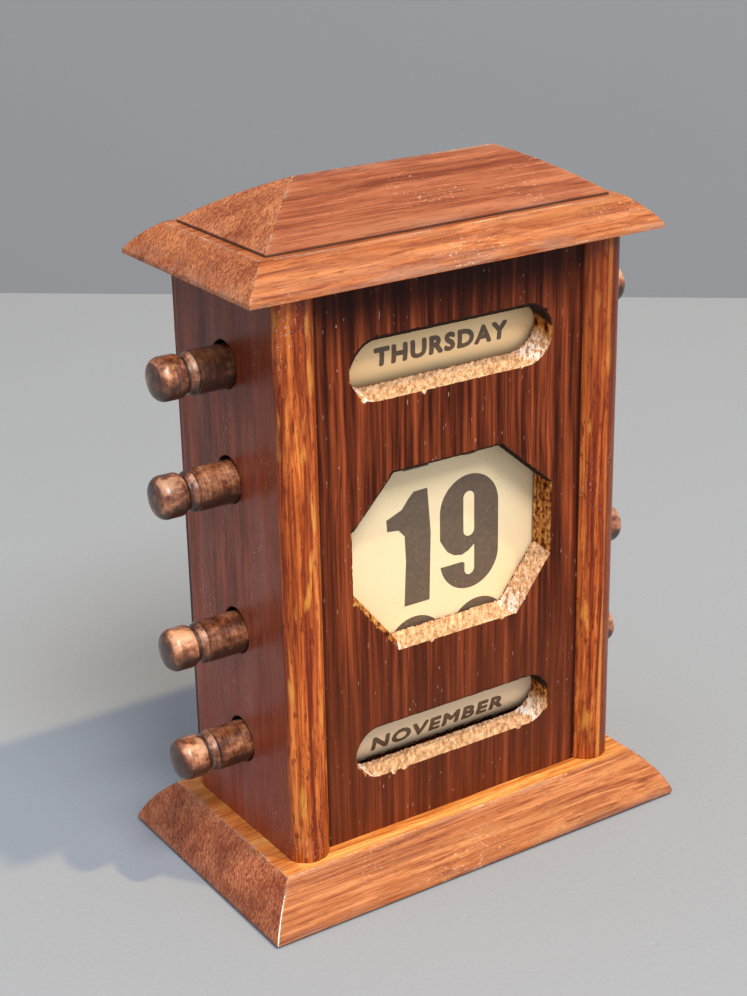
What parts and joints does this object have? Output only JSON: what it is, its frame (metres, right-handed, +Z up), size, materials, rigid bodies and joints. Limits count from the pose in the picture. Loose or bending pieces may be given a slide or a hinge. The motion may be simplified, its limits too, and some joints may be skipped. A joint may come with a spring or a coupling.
{
  "type": "perpetual desk calendar",
  "caption": "Upright stained-oak desk calendar with a hipped top and three windows; side knobs turn drums and rollers that show weekday, date and month.",
  "frame": {"origin": "middle of the underside, on the table", "axes": "+Z up, +X to the right seen from the front, front faces -Y"},
  "size_m": [0.134, 0.07, 0.169],
  "materials": {
    "stained_oak": "worn satin wax over red-brown stain",
    "dark_oak": "worn satin wax over dark brown stain",
    "bare_wood": "bare turned wood",
    "turned_knob": "polished dark stain",
    "printed_paper": "aged cream linen-backed paper",
    "screw_brass": "dull, aged",
    "baize": "worn dark green wool felt"
  },
  "bodies": {
    "housing": {"base_board": "stained_oak", "baize_pad": "baize", "side_board_left": "dark_oak", "side_board_right": "dark_oak", "front_panel": "dark_oak", "back_panel": "stained_oak", "cornice_board": "stained_oak", "hipped_cap": "stained_oak", "base_screws": "screw_brass", "cornice_screws": "screw_brass", "back_screws": "screw_brass"},
    "weekday_drum": {"day_drum": "bare_wood", "day_label": "printed_paper", "day_knob_left": "turned_knob", "day_knob_right": "turned_knob"},
    "upper_date_roller": {"date_upper_roller": "bare_wood", "date_upper_roll": "printed_paper", "date_upper_knob": "turned_knob", "date_upper_pivot": "bare_wood"},
    "lower_date_roller": {"date_lower_roller": "bare_wood", "date_lower_roll": "printed_paper", "date_lower_knob_left": "turned_knob", "date_lower_knob_right": "turned_knob"},
    "date_paper": {"date_strip": "printed_paper"},
    "months_drum": {"month_drum": "bare_wood", "month_label": "printed_paper", "month_knob_left": "turned_knob", "month_knob_right": "turned_knob"}
  },
  "joints": [
    {"name": "weekday_turn", "type": "hinge", "parent": "housing", "child": "weekday_drum", "pos_m": [0, 0, 0.1293], "axis": [1, 0, 0], "continuous": true},
    {"name": "date_turn", "type": "hinge", "parent": "housing", "child": "lower_date_roller", "pos_m": [0, 0, 0.0639], "axis": [1, 0, 0], "range_deg": [-37, 37]},
    {"name": "date_upper_turn", "type": "hinge", "parent": "housing", "child": "upper_date_roller", "pos_m": [0, 0, 0.1018], "axis": [1, 0, 0], "range_deg": [-37.5, 37.5]},
    {"name": "date_travel", "type": "slide", "parent": "housing", "child": "date_paper", "axis": [0, 0, 1], "range_m": [-0.0087, 0.0087]},
    {"name": "month_turn", "type": "hinge", "parent": "housing", "child": "months_drum", "pos_m": [0, 0, 0.035], "axis": [1, 0, 0], "continuous": true}
  ],
  "couplings": [
    {"joint": "date_upper_turn", "follows": "date_turn", "ratio": 1},
    {"joint": "date_travel", "follows": "date_turn", "m_per_rad": -0.0134}
  ]
}
